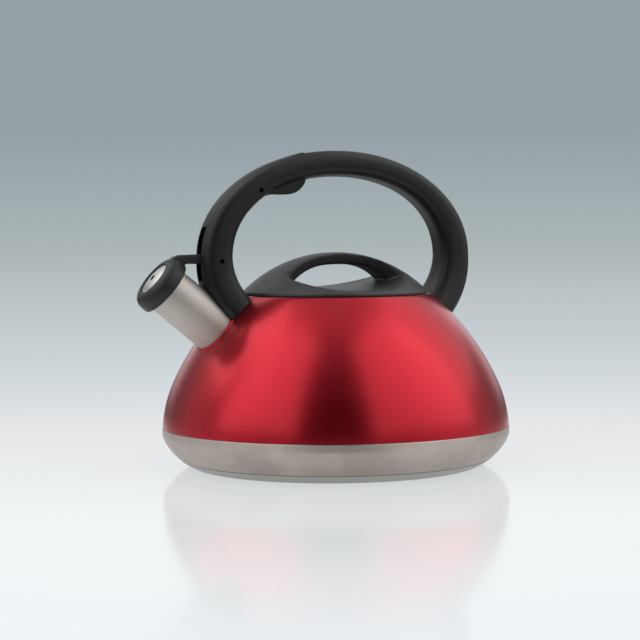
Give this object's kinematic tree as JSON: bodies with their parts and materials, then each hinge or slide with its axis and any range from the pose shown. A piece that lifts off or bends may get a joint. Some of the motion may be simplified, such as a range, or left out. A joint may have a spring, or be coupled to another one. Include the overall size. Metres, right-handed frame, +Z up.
{
  "type": "stovetop whistling kettle",
  "caption": "Stovetop whistling kettle: lacquered dome on a steel base, black arch handle whose trigger lifts the spout's whistle cap, lift-off lid with a scooped grip.",
  "frame": {"origin": "centre of the base cap's underside, on the surface that the kettle stands on", "axes": "+Z up along the kettle's axis; the spout points along -X, so +X points from the spout to the rear foot of the handle; +Y towards the left of a person who holds the kettle behind its spout"},
  "size_m": [0.2404, 0.22, 0.1994],
  "materials": {
    "lacquer": "glossy red metallic lacquer",
    "brushed_steel": "brushed round the axis",
    "base_steel": "satin",
    "spreader_aluminium": "raw",
    "hardware_steel": "plain drawn wire and bar",
    "whistle_steel": "pressed sheet, satin",
    "handle_plastic": "satin moulding",
    "cap_plastic": "satin moulding",
    "lid_plastic": "matt moulding",
    "silicone": "translucent grey, matt"
  },
  "bodies": {
    "vessel": {"body_shell": "lacquer", "base_pan": "brushed_steel", "heat_spreader": "spreader_aluminium", "base_cap": "base_steel", "spout_tube": "brushed_steel", "handle_body": "handle_plastic", "handle_cover": "handle_plastic", "handle_screw_front": "hardware_steel", "handle_screw_rear": "hardware_steel", "handle_washer_front": "hardware_steel", "handle_washer_rear": "hardware_steel", "trigger_pin": "hardware_steel", "trigger_spring": "hardware_steel", "arm_pin": "hardware_steel"},
    "trigger": {"trigger": "handle_plastic"},
    "push_rod": {"push_rod": "hardware_steel"},
    "whistle_cap": {"whistle_cap": "cap_plastic", "whistle_plate_outer": "whistle_steel", "whistle_plate_inner": "whistle_steel"},
    "lid": {"lid_cover": "lid_plastic", "lid_plate": "brushed_steel", "lid_gasket": "silicone", "lid_screw_1": "hardware_steel", "lid_screw_2": "hardware_steel"}
  },
  "joints": [
    {"name": "trigger_pull", "type": "hinge", "parent": "vessel", "child": "trigger", "pos_m": [-0.0543, 0, 0.17389], "axis": [0, -1, 0], "range_deg": [0, 15], "stiffness_Nm_per_rad": 0.3, "springref_deg": -11.46, "deforming": ["trigger_spring"]},
    {"name": "cap_lift", "type": "hinge", "parent": "vessel", "child": "whistle_cap", "pos_m": [-0.0806, 0, 0.1302], "axis": [0, 1, 0], "range_deg": [0, 45]},
    {"name": "rod_swing", "type": "hinge", "parent": "trigger", "child": "push_rod", "pos_m": [-0.068, 0, 0.168], "axis": [0, 1, 0], "range_deg": [0, 19]},
    {"name": "lid_lift", "type": "slide", "parent": "vessel", "child": "lid", "axis": [0, 0, 1], "range_m": [0, 0.04]}
  ],
  "couplings": [
    {"joint": "cap_lift", "follows": "trigger_pull", "ratio": 3},
    {"joint": "rod_swing", "follows": "trigger_pull", "ratio": 1.2653}
  ]
}
